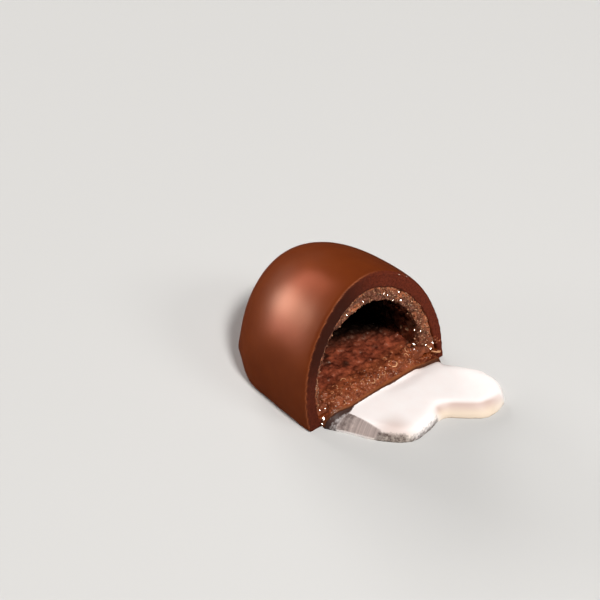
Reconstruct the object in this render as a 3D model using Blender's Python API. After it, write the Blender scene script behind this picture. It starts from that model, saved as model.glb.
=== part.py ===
"""A sake bonbon, cut open, with the sake that has run out of it.

The sweet is an egg lying on a flat base. A coating of chocolate holds a thin crust of sugar,
and the crust holds the sake. A third of the egg is cut away, so that the coating, the crust and
the hollow show, and the sake lies in a thin film on the floor of the hollow, runs over the
lip of the cut and stands in a low pool before it.

The origin is the middle of the whole egg's base. +X points out of the cut, +Z is up, and all
lengths are in metres.
"""

import math
from dataclasses import dataclass, replace

import bmesh
import bpy
from mathutils import Vector, noise

MM = 0.001

# The whole bonbon, before it was cut
LENGTH = 28.5 * MM
WIDTH = 20.0 * MM
HEIGHT = 15.2 * MM

# How thick the coating and the crust are, and the play between pieces that touch
COATING_SIDE = 1.4 * MM
COATING_TOP = 2.0 * MM
COATING_FLOOR = 1.1 * MM
COATING_END = 2.0 * MM
CRUST_SIDE = 1.15 * MM
CRUST_TOP = 1.7 * MM
CRUST_FLOOR = 0.9 * MM
CRUST_END = 1.2 * MM
CRUST_SHIFT = 0.5 * MM
PLAY = 0.3 * MM

# On the far side the crust's foot spreads out and leaves the coating thin: how far, and how high up
FOOT_SPREAD = 0.9 * MM
FOOT_SPREAD_TOP = 4.0 * MM

# The cut: where it meets the table, and how far it leans back for each metre of height
CUT_AT = 4.3 * MM
CUT_LEAN = 0.16

# How uneven the knife left the chocolate and the break left the sugar: size and pitch of the waves
KNIFE_WAVE = 0.12 * MM
KNIFE_PITCH = 4.0 * MM
BREAK_SETBACK = 0.3 * MM
BREAK_WAVE = 0.4 * MM
BREAK_PITCH = 1.3 * MM
SUGAR_WAVE = 0.2 * MM
SUGAR_PITCH = 2.2 * MM

# Where the coating is out of true. Each swelling has a name, its direction from the middle in
# degrees, how far it stands out, the height at which it ends, and its spread in degrees.
SWELLINGS = [
    ("full flank", 236, 0.40 * MM, 12.0 * MM, 13),
    ("lean hip", 198, -0.50 * MM, 14.0 * MM, 20),
    ("drop at the foot", 207, 0.60 * MM, 2.8 * MM, 7),
    ("spread foot behind", 125, 0.25 * MM, 2.0 * MM, 45)]
MOST_SWELLING = 0.6 * MM

# The sake: its level in the hollow, and the pool's depth in the open and at the foot of the cut,
# where it is deeper on the near side and falls off towards the far one
FILM_LEVEL = 2.75 * MM
POOL_DEPTH = 1.6 * MM
POOL_FOOT_NEAR = 1.45 * MM
POOL_FOOT_FAR = 0.75 * MM
POOL_FOOT_FALLS = (-1.5 * MM, 2.5 * MM)
POOL_SWELL = 3.2 * MM
POOL_EDGE = 1.1 * MM
POOL_EDGE_WALL = 0.2 * MM
POOL_EDGE_POWER = 2.0

# Where the pool's side is a wide slope and not a round edge. Each slope has a name, its middle in
# plan in millimetres, how far it reaches from there, and how wide it is.
POOL_SLOPES = [
    ("facet at the left end", (7.9, -6.2), 1.9 * MM, 1.15 * MM),
    ("near side of the tongue", (13.4, 4.9), 2.7 * MM, 1.5 * MM)]
SLOPE_FADE = 1.3 * MM
SLOPE_POWER = 1.2
POOL_BACK = 4.4 * MM
LIP_FRONT = 1.1 * MM
LIP_RUN = 1.4 * MM
LIP_SIDE = 2.2 * MM
LIP_NARROWS = 2.5 * MM
POOL_OUTLINE = [
    (4.8, -8.3), (7.2, -6.8), (10.1, -5.2), (12.6, -2.6), (12.5, 0.3), (12.0, 2.5), (13.6, 4.4), (15.2, 6.6),
    (14.6, 9.4), (12.6, 10.8), (10.3, 10.7), (8.3, 9.5), (6.5, 8.4), (4.8, 8.8)]

# How finely the meshes are divided
RING_POINTS = 44
SIDE_POINTS = 3
CELLS_PER_WAVE = 2.6


@dataclass
class Egg:
    """An egg lying on a flat base: the form of the coating, of the crust and of the hollow."""
    back: float
    front: float
    width: float
    top: float
    floor: float
    aside: float = 0.0
    section_power: float = 1.85
    plan_power: float = 2.6
    side_power: float = 2.7
    belly: float = 0.17
    tuck: float = 0.015
    taper: float = 0.07
    rings: int = 26


OUTSIDE = Egg(-LENGTH / 2, LENGTH / 2, WIDTH, HEIGHT, 0.0, rings=32)
CAVITY = Egg(
    OUTSIDE.back + COATING_END, OUTSIDE.front - COATING_END, WIDTH - 2 * COATING_SIDE,
    HEIGHT - COATING_TOP, COATING_FLOOR, section_power=1.78)
HOLLOW = Egg(
    CAVITY.back + CRUST_END, CAVITY.front - CRUST_END, CAVITY.width - 2 * CRUST_SIDE,
    CAVITY.top - CRUST_TOP, CAVITY.floor + CRUST_FLOOR, aside=-CRUST_SHIFT, section_power=1.9)


def grown(egg, by):
    """The same egg with its surface moved outwards, or inwards where by is below zero."""
    return replace(
        egg, back=egg.back - by, front=egg.front + by, width=egg.width + 2 * by,
        top=egg.top + by, floor=egg.floor - by)


def quarter(share, power):
    """How high a superellipse of unit size stands at this share of its reach."""
    return (1 - min(abs(share), 1.0) ** power) ** (1 / power)


def signed_power(value, power):
    """A power that keeps the sign of its value."""
    return math.copysign(abs(value) ** power, value)


def soft_step(value):
    """0 below 0, 1 above 1, and a smooth rise between."""
    value = min(max(value, 0.0), 1.0)
    return value * value * (3 - 2 * value)


def egg_section(egg, share):
    """Half width and height of the egg's section at a share, -1 to 1, of its length."""
    swelling = 1 + egg.taper * share
    half_width = egg.width / 2 * quarter(share, egg.plan_power) * swelling
    height = (egg.top - egg.floor) * quarter(share, egg.side_power) * swelling
    return half_width, height


def egg_ring(egg, turn):
    """One closed ring round the egg, over the top and back along the flat base."""
    share = -signed_power(math.cos(turn), 2 / egg.plan_power)
    half_width, height = egg_section(egg, share)
    middle, reach = (egg.front + egg.back) / 2, (egg.front - egg.back) / 2
    along = middle + reach * share
    belly = egg.belly * height
    power = 2 / egg.section_power
    ring = []
    arch = RING_POINTS * 5 // 8
    for step in range(arch + 1):
        angle = math.pi * step / arch
        across = half_width * signed_power(math.cos(angle), power)
        up = belly + (height - belly) * max(math.sin(angle), 0.0) ** power
        ring.append(Vector((along, egg.aside + across, egg.floor + up)))
    base = RING_POINTS - arch - 2 * SIDE_POINTS
    foot_width = half_width * (1 - egg.tuck)
    for step in range(1, SIDE_POINTS + 1):
        drop = step / SIDE_POINTS
        across = half_width * (1 - egg.tuck * drop ** 2)
        ring.append(Vector((along, egg.aside - across, egg.floor + belly * (1 - drop))))
    for step in range(1, base):
        ring.append(Vector((along, egg.aside - foot_width * (1 - 2 * step / base), egg.floor)))
    for step in range(SIDE_POINTS, 0, -1):
        drop = step / SIDE_POINTS
        across = half_width * (1 - egg.tuck * drop ** 2)
        ring.append(Vector((along, egg.aside + across, egg.floor + belly * (1 - drop))))
    return ring


def dipped(point):
    """Push a point of the coating in or out, where the chocolate ran and spread as it set."""
    direction = math.degrees(math.atan2(point.y, point.x))
    push = 0.0
    for _, middle, reach, end, spread in SWELLINGS:
        off = (direction - middle + 180) % 360 - 180
        fade = math.cos(math.pi / 2 * min(point.z / end, 1.0)) ** 2
        push += reach * fade * math.exp(-(off / spread) ** 2)
    return point + push * Vector((point.x, point.y, 0)).normalized()


def spread_foot(point):
    """Push the cavity's foot out on the far side, the further the nearer it is to the wall."""
    share = max(point.y, 0.0) / (CAVITY.width / 2)
    low = soft_step(1 - point.z / FOOT_SPREAD_TOP)
    return point + Vector((0, FOOT_SPREAD * low * share ** 2, 0))


def sugar_bumps(point):
    """Lift and sink the inside of the crust, as coarse sugar does."""
    axis = Vector((point.x, HOLLOW.aside, HOLLOW.floor + 0.4 * (HOLLOW.top - HOLLOW.floor)))
    outward = (point - axis).normalized()
    return point + SUGAR_WAVE * noise.noise(point / SUGAR_PITCH) * outward


def solid_from_rings(name, rings, ends):
    """Join closed rings of points by strips of faces, and close each end on its own point."""
    mesh = bmesh.new()
    loops = [[mesh.verts.new(point) for point in ring] for ring in rings]
    for near, far in zip(loops, loops[1:]):
        for first in range(len(near)):
            second = (first + 1) % len(near)
            mesh.faces.new((near[first], near[second], far[second], far[first]))
    for loop, end in ((loops[0], ends[0]), (loops[-1], ends[1])):
        tip = mesh.verts.new(end)
        for first in range(len(loop)):
            mesh.faces.new((loop[first], loop[(first + 1) % len(loop)], tip))
    bmesh.ops.recalc_face_normals(mesh, faces=mesh.faces)
    return object_from(name, mesh)


def object_from(name, mesh):
    """Turn a bmesh into an object of the scene, and free it."""
    data = bpy.data.meshes.new(name)
    mesh.to_mesh(data)
    mesh.free()
    thing = bpy.data.objects.new(name, data)
    bpy.context.scene.collection.objects.link(thing)
    return thing


def egg_solid(name, egg, shape=None):
    """The egg as a closed mesh, with every point passed through shape if one is given."""
    shape = shape or (lambda point: point)
    rings = []
    for step in range(1, egg.rings):
        rings.append([shape(point) for point in egg_ring(egg, math.pi * step / egg.rings)])
    ends = [shape(Vector((along, egg.aside, egg.floor))) for along in (egg.back, egg.front)]
    return solid_from_rings(name, rings, ends)


def cut_block(name, setback, wave=0.0, pitch=MM):
    """What is cut away: a block whose rear face leans back and is uneven, in waves of this pitch."""
    reach = 1.5 * HEIGHT
    cells = round(CELLS_PER_WAVE * reach / pitch) if wave else 1
    mesh = bmesh.new()
    bmesh.ops.create_grid(mesh, x_segments=cells, y_segments=cells, size=reach / 2)
    for vertex in mesh.verts:
        across, up = vertex.co.x, vertex.co.y + HEIGHT / 2
        uneven = wave * noise.noise(Vector((across, up, 0)) / pitch)
        vertex.co = Vector((CUT_AT - setback - CUT_LEAN * up + uneven, across, up))
    front = bmesh.ops.extrude_face_region(mesh, geom=mesh.faces[:])
    moved = [item for item in front["geom"] if isinstance(item, bmesh.types.BMVert)]
    bmesh.ops.translate(mesh, verts=moved, vec=Vector((LENGTH, 0, 0)))
    bmesh.ops.recalc_face_normals(mesh, faces=mesh.faces)
    return object_from(name, mesh)


def carve(thing, cutter):
    """Take the cutter's shape out of a solid, and hide the cutter."""
    modifier = thing.modifiers.new("less " + cutter.name, "BOOLEAN")
    modifier.operation = "DIFFERENCE"
    modifier.object = cutter
    cutter.hide_render = True
    cutter.display_type = "WIRE"


def finish(thing, colour, roughness, sharp_angle=50, transmission=0.0):
    """Give a piece its own material, and shade its round faces smooth."""
    material = bpy.data.materials.new(thing.name + "_material")
    material.use_nodes = True
    surface = material.node_tree.nodes["Principled BSDF"]
    surface.inputs["Base Color"].default_value = (*colour, 1)
    surface.inputs["Roughness"].default_value = roughness
    surface.inputs["Metallic"].default_value = 0.0
    surface.inputs["Transmission Weight"].default_value = transmission
    thing.data.materials.append(material)
    thing.data.shade_smooth()
    thing.data.set_sharp_from_angle(angle=math.radians(sharp_angle))


def smooth_outline(points, steps):
    """A curve through the points, with this many steps from each point to the next."""
    curve = []
    for index in range(len(points) - 1):
        before, start = Vector(points[max(index - 1, 0)]), Vector(points[index])
        end, after = Vector(points[index + 1]), Vector(points[min(index + 2, len(points) - 1)])
        for step in range(steps):
            t = step / steps
            bend = 2 * before - 5 * start + 4 * end - after
            twist = 3 * start - before - 3 * end + after
            curve.append(start + 0.5 * (t * (end - before) + t ** 2 * bend + t ** 3 * twist))
    return curve + [Vector(points[-1])]


def sake_plan():
    """Rows of points in plan, from the back of the hollow over the lip to the pool's edge."""
    edge = [Vector(point) * MM for point in smooth_outline(POOL_OUTLINE, 3)]
    shares = [step / (len(edge) - 1) for step in range(len(edge))]
    wall = grown(OUTSIDE, -COATING_SIDE)
    rows = []
    # Rows lie closer together where the top bends: over the lip and at the pool's round edge
    for along in (-0.97, -0.85, -0.65, -0.4, -0.1, 0.05, 0.13, 0.19, 0.24, 0.28):
        half_width, _ = egg_section(wall, along)
        rows.append([Vector((wall.front * along, half_width * (2 * share - 1))) for share in shares])
    lip = [Vector((POOL_BACK, edge[0].y + (edge[-1].y - edge[0].y) * share)) for share in shares]
    for out in (0, 0.03, 0.07, 0.11, 0.16, 0.24, 0.36, 0.5, 0.64, 0.76, 0.85, 0.92, 0.97, 1):
        rows.append([near.lerp(far, out) for near, far in zip(lip, edge)])
    return rows, [lip[0]] + edge + [lip[-1]]


def distance_to_line(point, line):
    """How far a point in plan lies from a line of points."""
    nearest = math.inf
    for start, end in zip(line, line[1:]):
        run = end - start
        share = min(max((point - start).dot(run) / run.length_squared, 0.0), 1.0)
        nearest = min(nearest, (point - start - share * run).length)
    return nearest


def edge_share(point, inward):
    """Share of the pool's depth at a point this far in from its edge: 0 at the edge, 1 far in."""
    share = quarter(1 - min(inward / POOL_EDGE, 1.0), POOL_EDGE_POWER)
    for _, middle, reach, width in POOL_SLOPES:
        off = (point - Vector(middle) * MM).length
        slope = quarter(1 - min(inward / width, 1.0), SLOPE_POWER)
        share += soft_step(1 + (reach - off) / SLOPE_FADE) * (slope - share)
    return share


def sake_height(point, edge):
    """Height of the sake's top: level in the hollow, down over the lip, and out to the pool's edge."""
    out = min(max((point.x - CUT_AT) / POOL_SWELL, 0.0), 1.0)
    falls_from, falls_to = POOL_FOOT_FALLS
    fallen = soft_step((point.y - falls_from) / (falls_to - falls_from))
    foot = POOL_FOOT_NEAR + (POOL_FOOT_FAR - POOL_FOOT_NEAR) * fallen
    pool = foot + (POOL_DEPTH - foot) * math.sin(out * math.pi / 2)
    pool = POOL_EDGE_WALL + (pool - POOL_EDGE_WALL) * edge_share(point, distance_to_line(point, edge))
    over_lip = soft_step((CUT_AT + LIP_FRONT - point.x) / LIP_RUN)
    beside = soft_step((abs(point.y - HOLLOW.aside) - HOLLOW.width / 2 + LIP_SIDE) / LIP_SIDE)
    near_lip = soft_step((point.x - CUT_AT + LIP_NARROWS) / LIP_NARROWS)
    return pool + (FILM_LEVEL - pool) * over_lip * (1 - beside * near_lip)


def make_coating():
    """The chocolate: the whole egg, less its cavity and what was cut away."""
    coating = egg_solid("chocolate_coating", OUTSIDE, dipped)
    carve(coating, egg_solid("cavity", CAVITY, spread_foot))
    carve(coating, cut_block("knife_cut", 0.0, KNIFE_WAVE, KNIFE_PITCH))
    finish(coating, (0.13, 0.035, 0.014), 0.38)


def make_crust():
    """The sugar crust: it fills the cavity, less the hollow, and breaks off behind the cut."""
    crust = egg_solid("sugar_crust", grown(CAVITY, -PLAY), spread_foot)
    carve(crust, egg_solid("hollow", HOLLOW, sugar_bumps))
    carve(crust, cut_block("crust_break", BREAK_SETBACK, BREAK_WAVE, BREAK_PITCH))
    finish(crust, (0.30, 0.17, 0.11), 0.5)


def make_sake():
    """The sake: its plan raised to its height, less the room that the sweet takes up."""
    rows, edge = sake_plan()
    mesh = bmesh.new()
    grid = [[mesh.verts.new((point.x, point.y, 0)) for point in row] for row in rows]
    for near, far in zip(grid, grid[1:]):
        for step in range(len(near) - 1):
            mesh.faces.new((near[step], near[step + 1], far[step + 1], far[step]))
    raised = bmesh.ops.extrude_face_region(mesh, geom=mesh.faces[:])
    for item in raised["geom"]:
        if isinstance(item, bmesh.types.BMVert):
            item.co.z = sake_height(item.co.xy, edge)
    bmesh.ops.recalc_face_normals(mesh, faces=mesh.faces)
    sake = object_from("sake_filling", mesh)
    taken = egg_solid("room_taken", grown(OUTSIDE, PLAY + MOST_SWELLING))
    carve(taken, cut_block("room_before_cut", -PLAY))
    carve(taken, egg_solid("room_in_hollow", grown(HOLLOW, -PLAY), sugar_bumps))
    carve(sake, taken)
    finish(sake, (0.86, 0.84, 0.83), 0.08, 60, 0.3)


def clear_scene():
    """Remove whatever the scene holds."""
    for thing in list(bpy.data.objects):
        bpy.data.objects.remove(thing)


clear_scene()
make_coating()
make_crust()
make_sake()
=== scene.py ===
# %% [markdown]
# # A sake bonbon, cut open
# The sweet is an egg of milk chocolate round a thin crust of sugar, with sake inside. It has been
# cut across, and some of the sake has run out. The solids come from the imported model, at their
# real size, and this lesson gives them their fine surface, their materials, light and a camera.

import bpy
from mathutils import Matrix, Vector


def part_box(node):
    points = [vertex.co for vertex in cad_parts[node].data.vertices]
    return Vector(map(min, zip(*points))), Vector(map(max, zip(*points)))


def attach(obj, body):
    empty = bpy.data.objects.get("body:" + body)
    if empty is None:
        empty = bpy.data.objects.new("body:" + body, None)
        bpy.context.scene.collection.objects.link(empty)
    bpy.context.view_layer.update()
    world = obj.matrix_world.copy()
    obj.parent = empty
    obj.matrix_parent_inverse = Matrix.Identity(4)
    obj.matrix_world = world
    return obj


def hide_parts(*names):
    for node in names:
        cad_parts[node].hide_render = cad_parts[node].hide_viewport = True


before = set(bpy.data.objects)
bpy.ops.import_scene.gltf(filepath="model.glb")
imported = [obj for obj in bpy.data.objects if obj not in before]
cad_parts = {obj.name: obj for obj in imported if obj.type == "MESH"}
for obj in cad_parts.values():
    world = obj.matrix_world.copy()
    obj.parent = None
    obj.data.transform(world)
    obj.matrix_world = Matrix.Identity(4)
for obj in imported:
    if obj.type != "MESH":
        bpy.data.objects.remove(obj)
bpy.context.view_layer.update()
print("nodes:", sorted(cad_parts))

# %% [markdown]
# ## Tools for the bench
# Everything here is in metres, and the sweet is measured in millimetres, so one name stands for
# the millimetre. An operator works on whatever is selected, so each step first selects its own
# piece and nothing else.

# %% Units, selection and new objects
import math
import random
from functools import partial

import bpy
import numpy as np
from mathutils import Matrix, Vector
from mathutils.kdtree import KDTree

MM = 0.001


def select_only(*pieces):
    """Leave just these pieces selected, the first of them active."""
    bpy.ops.object.select_all(action="DESELECT")
    for piece in pieces:
        piece.select_set(True)
    bpy.context.view_layer.objects.active = pieces[0]


def apply_modifier(piece, kind, **settings):
    """Give a piece a modifier with these settings, and apply it."""
    select_only(piece)
    modifier = piece.modifiers.new(kind.lower(), kind)
    for name, value in settings.items():
        setattr(modifier, name, value)
    bpy.ops.object.modifier_apply(modifier=modifier.name)


def new_object(name, data):
    """An object for a mesh, a lamp or a lens, put into the scene."""
    thing = bpy.data.objects.new(name, data)
    bpy.context.scene.collection.objects.link(thing)
    return thing


# %% [markdown]
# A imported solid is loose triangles, and its own mesh stays as it is. So each new piece starts as
# a copy whose corners are merged, and that is remeshed into small even squares: a mesh that can
# be smoothed and roughened like clay.

# %% Copies of the solids, as clay
SAME_CORNER = 0.001 * MM


def copy_of(node, name):
    """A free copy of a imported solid, with its triangles merged into one skin."""
    piece = new_object(name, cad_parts[node].data.copy())
    piece.data.materials.clear()
    select_only(piece)
    bpy.ops.mesh.customdata_custom_splitnormals_clear()
    bpy.ops.object.mode_set(mode="EDIT")
    bpy.ops.mesh.select_all(action="SELECT")
    bpy.ops.mesh.remove_doubles(threshold=SAME_CORNER)
    bpy.ops.object.mode_set(mode="OBJECT")
    return piece


def remesh(piece, cell):
    """Rebuild a piece from squares of about this size."""
    apply_modifier(piece, "REMESH", mode="VOXEL", voxel_size=cell, adaptivity=0.0)
    print(piece.name, "has", len(piece.data.polygons), "faces")


# %% Reading and marking vertices
WEIGHT_LEVELS = 20


def read_vertices(piece, what):
    """A place or a facing for each vertex, one row for each."""
    values = np.zeros(3 * len(piece.data.vertices))
    piece.data.vertices.foreach_get(what, values)
    return values.reshape(-1, 3)


def places(piece):
    """Where the vertices are."""
    return read_vertices(piece, "co")


def facings(piece):
    """Which way the skin faces at each vertex."""
    return read_vertices(piece, "normal")


def move_to(piece, points):
    """Put the vertices at these places."""
    piece.data.vertices.foreach_set("co", points.ravel())
    piece.data.update()


def weigh(piece, name, weights):
    """A vertex group, so that a modifier works only where its weight is above 0."""
    group = piece.vertex_groups.new(name=name)
    levels = np.round(np.clip(weights, 0, 1) * WEIGHT_LEVELS).astype(int)
    for level in range(1, WEIGHT_LEVELS + 1):
        group.add(np.flatnonzero(levels == level).tolist(), level / WEIGHT_LEVELS, "REPLACE")


def mark(piece, name, values):
    """An attribute from 0 to 1 on the vertices, which a material can read."""
    attribute = piece.data.attributes.new(name, "FLOAT", "POINT")
    attribute.data.foreach_set("value", np.clip(values, 0, 1).astype(np.float32))


def ramp(value, start, end):
    """0 at start, 1 at end, a smooth change between, and level outside."""
    share = np.clip((value - start) / (end - start), 0, 1)
    return share * share * (3 - 2 * share)


def rise(length, start, end):
    """A ramp along a length, with its start and end in millimetres."""
    return ramp(length, start * MM, end * MM)


# %% [markdown]
# ## Where the cut is
# The knife's cut meets the table 4.3 mm past the middle of the whole egg and leans back as it
# rises. Most of what follows depends on how far a point lies behind that plane, and on whether
# its surface faces out of the sweet or in towards the hollow. The hollow's middle line, level and
# half a millimetre left of the middle, is the axis for that.

# %% The plane of the cut
CUT_AT = 4.3 * MM
CUT_LEAN = 0.16
AXIS_SIDE = -0.5 * MM
AXIS_HEIGHT = 5.5 * MM


def behind_cut(points):
    """How far each point lies behind the plane of the cut."""
    return (CUT_AT - CUT_LEAN * points[:, 2] - points[:, 0]) / math.hypot(1, CUT_LEAN)


def outwardness(points, normals):
    """1 where the skin faces straight away from the sweet's axis, -1 where it faces the axis."""
    low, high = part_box("sugar_crust")
    along = np.clip(points[:, 0], low.x + AXIS_HEIGHT, high.x)
    aside, above = np.full((2, len(points)), [[AXIS_SIDE], [AXIS_HEIGHT]])
    away = points - np.stack([along, aside, above], 1)
    away /= np.linalg.norm(away, axis=1)[:, None]
    return (away * normals).sum(1)


print("the cut leans back by", round(math.degrees(math.atan(CUT_LEAN)), 1), "degrees")

# %% [markdown]
# ## The chocolate coating
# Chocolate is poured over the crust in a turning pan, layer on layer, so the outside is round and
# satin smooth. The knife leaves an edge that is hardly rounded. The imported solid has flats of
# about a millimetre and a half: many gentle passes of smoothing melt them on the outside, held
# off the edge of the cut and off the foot. The foot is smoothed in plan only, so that it stays on
# the table, and a few passes everywhere take the sharpness off the edges. So much smoothing
# shrinks a ball of this size by 0.13 mm, so the outside is blown up by that much first.

# %% Model the coating
COATING_CELL = 0.16 * MM
FACES_OUT = (0.0, 0.25)
OFF_EDGE = (0.15, 1.2)
OFF_FOOT = (0.1, 0.9)
SHRINKS_BY = 0.13 * MM
OUTSIDE_ROUNDS = 240
EDGE_ROUNDS = 22
FOOT_ROUNDS = 14
LAST_ROUNDS = 3


def smooth(piece, rounds, group="", **settings):
    """Draw each vertex halfway to its neighbours, so many times, where the group has weight."""
    apply_modifier(piece, "SMOOTH", factor=0.5, iterations=rounds, vertex_group=group, **settings)


coating = copy_of("chocolate_coating", "coating")
remesh(coating, COATING_CELL)
points, normals = places(coating), facings(coating)
outside = ramp(outwardness(points, normals), *FACES_OUT)
off_edge = rise(behind_cut(points), *OFF_EDGE)
off_foot = rise(points[:, 2], *OFF_FOOT)
free = outside * off_edge * off_foot
weigh(coating, "outside", free)
weigh(coating, "outer_edge", outside * (1 - off_edge) * off_foot)
weigh(coating, "foot", off_edge * (1 - off_foot))
move_to(coating, points + SHRINKS_BY * normals * free[:, None])
smooth(coating, OUTSIDE_ROUNDS, "outside")
smooth(coating, EDGE_ROUNDS, "outer_edge")
smooth(coating, FOOT_ROUNDS, "foot", use_z=False)
smooth(coating, LAST_ROUNDS)

# %% [markdown]
# The cut face isn't glass smooth: the chocolate crumbled a little as the knife went through. A
# Displace modifier with a procedural cloud texture raises and sinks it by a few hundredths of a
# millimetre, only where the skin faces out of the cut. Attributes keep three places for the
# material: the cut itself; its left half, painted darker as painted shade, most of all high up;
# and a painted highlight, a pale line where the skin turns into the cut on that side.

# %% Roughen the cut face
CUT_CRUMB_PITCH = 0.45 * MM
CUT_CRUMB_DEPTH = 0.1 * MM
FACES_CUT = (0.75, 0.92)
TURNS_TO_CUT = (0.3, 0.7)
SHADE_FADES = (-4.0, 2.5)
SHADE_RISES = (4.0, 9.0)
SHADE_LEAST = 0.4
HIGHLIGHT_LINE_FADES = (-1.0, 3.0)


def roughen(piece, name, group, pitch, depth):
    """Raise and sink the skin by soft lumps this far apart and deep, where the group has weight."""
    texture = bpy.data.textures.new(name, "CLOUDS")
    texture.noise_scale = pitch
    texture.noise_depth = 2
    apply_modifier(
        piece, "DISPLACE", texture=texture, texture_coords="LOCAL", strength=depth, mid_level=0.5,
        vertex_group=group)


points, normals = places(coating), facings(coating)
on_cut = ramp(normals[:, 0], *FACES_CUT) * rise(behind_cut(points), 0.9, 0.4)
weigh(coating, "cut_face", on_cut)
cut_skin = ramp(normals[:, 0], *TURNS_TO_CUT) * rise(behind_cut(points), 1.1, 0.5)
mark(coating, "cut", cut_skin)
# Painted shade: the left half of the cut face is darker, most of all high up
stained = 1 - rise(points[:, 1], *SHADE_FADES)
stained *= SHADE_LEAST + (1 - SHADE_LEAST) * rise(points[:, 2], *SHADE_RISES)
mark(coating, "shaded", cut_skin * stained)
# A painted highlight: a pale line where the skin turns into the cut, on its left side
mark(coating, "edge", 4 * cut_skin * (1 - cut_skin) * (1 - rise(points[:, 1], *HIGHLIGHT_LINE_FADES)))
roughen(coating, "cut crumb", "cut_face", CUT_CRUMB_PITCH, CUT_CRUMB_DEPTH)
print("cut face:", int((on_cut > 0.5).sum()), "vertices")

# %% [markdown]
# ## The sugar crust
# Sake and sugar syrup are poured into moulds of starch, and the syrup crystallises from the
# outside in, so that a crust closes round the liquid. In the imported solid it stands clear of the
# chocolate by a hair. Real sugar sits tight against it, so the outer skin is pushed out, more to
# the sides than along the sweet, before the copy is remeshed. Then the inside gets coarse lumps,
# the broken rim smaller ones, and every bare surface fine grain.

# %% Model the crust
CRUST_CELL = 0.135 * MM
CRUST_ROUNDS = 6
PLAY_CLOSED = 0.29 * MM
LESS_ALONG = 0.35
OUTER_SKIN = 0.2
COVERED = (0.35, 0.7)
INSIDE = (-0.1, 0.4)
LUMP_PITCH = 1.1 * MM
LUMP_DEPTH = 0.75 * MM
CRUMB_PITCH = 0.55 * MM
CRUMB_DEPTH = 0.3 * MM
GRAIN_PITCH = 0.24 * MM
GRAIN_DEPTH = 0.14 * MM

crust = copy_of("sugar_crust", "crust")
points, normals = places(crust), facings(crust)
sideways = normals * [LESS_ALONG, 1, 1]
sideways /= np.linalg.norm(sideways, axis=1)[:, None]
outer = outwardness(points, normals) > OUTER_SKIN
points[outer] += PLAY_CLOSED * sideways[outer]
move_to(crust, points)
remesh(crust, CRUST_CELL)
points = places(crust)
outward = outwardness(points, facings(crust))
bare = 1 - ramp(outward, *COVERED)
weigh(crust, "bare", bare)
weigh(crust, "inner", ramp(-outward, *INSIDE) * rise(behind_cut(points), 0.3, 1.0))
weigh(crust, "rim", bare * (1 - rise(behind_cut(points), 0.9, 1.6)))
smooth(crust, CRUST_ROUNDS)
roughen(crust, "sugar lumps", "inner", LUMP_PITCH, LUMP_DEPTH)
roughen(crust, "broken sugar", "rim", CRUMB_PITCH, CRUMB_DEPTH)
roughen(crust, "sugar grain", "bare", GRAIN_PITCH, GRAIN_DEPTH)

# %% [markdown]
# Behind the broken rim the sugar is soaked and brown with cocoa, and at the rim it is dry and
# speckled. Far in it is painted nearly black as painted shade, and on the right so is the wall
# straight under the rim, as a painted shadow of the rim. The skin that lay against the chocolate
# is dense and paler, and that pale line is wider on the right. Attributes keep all this, so the
# material can turn from one to another.

# %% Mark where the crust is wet
RIM_BEHIND_CUT = 0.3 * MM
DRY_TO_WET = (0.25, 0.9)
WET_FOOT = (2.6, 4.2)
FACES_IN = (-0.2, 0.5)
SKIN_THICKNESS = 0.3 * MM
SKIN_WIDENS = 0.35 * MM
UNDER_RIM_SHADOW = 0.85

points = places(crust)
outward = outwardness(points, facings(crust))
depth_in = behind_cut(points) - RIM_BEHIND_CUT
facing_in = ramp(-outward, *FACES_IN)
wet = np.maximum(rise(depth_in, *DRY_TO_WET) * facing_in, 1 - rise(points[:, 2], *WET_FOOT))
mark(crust, "wet", wet)
outer_skin = KDTree(len(points))
for index in np.flatnonzero((outward > 0.6) & (depth_in < 1.5 * MM)):
    outer_skin.insert(points[index], index)
outer_skin.balance()
from_skin = np.full(len(points), 1.0)
for index in np.flatnonzero(depth_in < 1.0 * MM):
    from_skin[index] = outer_skin.find(points[index])[2]
pale_to = SKIN_THICKNESS + SKIN_WIDENS * rise(points[:, 1], 2.0, 5.0)
mark(crust, "skin", 1 - ramp(from_skin, 0.1 * MM, pale_to))
# Painted shade: far in, the wall and the floor are painted nearly black, and on the right so is the wall just
# under the rim, as a painted shadow of the rim
shade_on_wall = rise(depth_in, 1.2, 3.2) * rise(points[:, 2], 2.5, 3.1)
shade_on_floor = rise(depth_in, 4.4, 7.0)
on_the_right = rise(points[:, 1], 2.0, 3.5) * rise(points[:, 2], 3.6, 4.6)
shadow_under_rim = rise(depth_in, 0.3, 0.5) * on_the_right
mark(crust, "deep", np.maximum.reduce([shade_on_wall, shade_on_floor, UNDER_RIM_SHADOW * shadow_under_rim]) * facing_in)
print("wet part of the crust:", round(float((wet > 0.5).mean()), 2))

# %% [markdown]
# ## Sugar grains on the rim
# Where the crust broke, single grains stand up and sparkle. One grain is modelled: a squat block
# with its edges bevelled. It is then copied all over the rim, turned, sized and stretched by
# chance, with a fixed seed so that each run gives the same grains, and the copies are one mesh.

# %% Model one grain
def model_grain():
    """One grain of sugar, about a unit wide: a squat block with its edges bevelled."""
    bpy.ops.object.select_all(action="DESELECT")
    bpy.ops.mesh.primitive_cube_add(size=1)
    grain = bpy.context.object
    bpy.ops.object.mode_set(mode="EDIT")
    bpy.ops.transform.resize(value=(1.0, 0.8, 0.7))
    bpy.ops.mesh.bevel(offset=0.22, segments=1, affect="EDGES")
    bpy.ops.object.mode_set(mode="OBJECT")
    return grain


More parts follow.
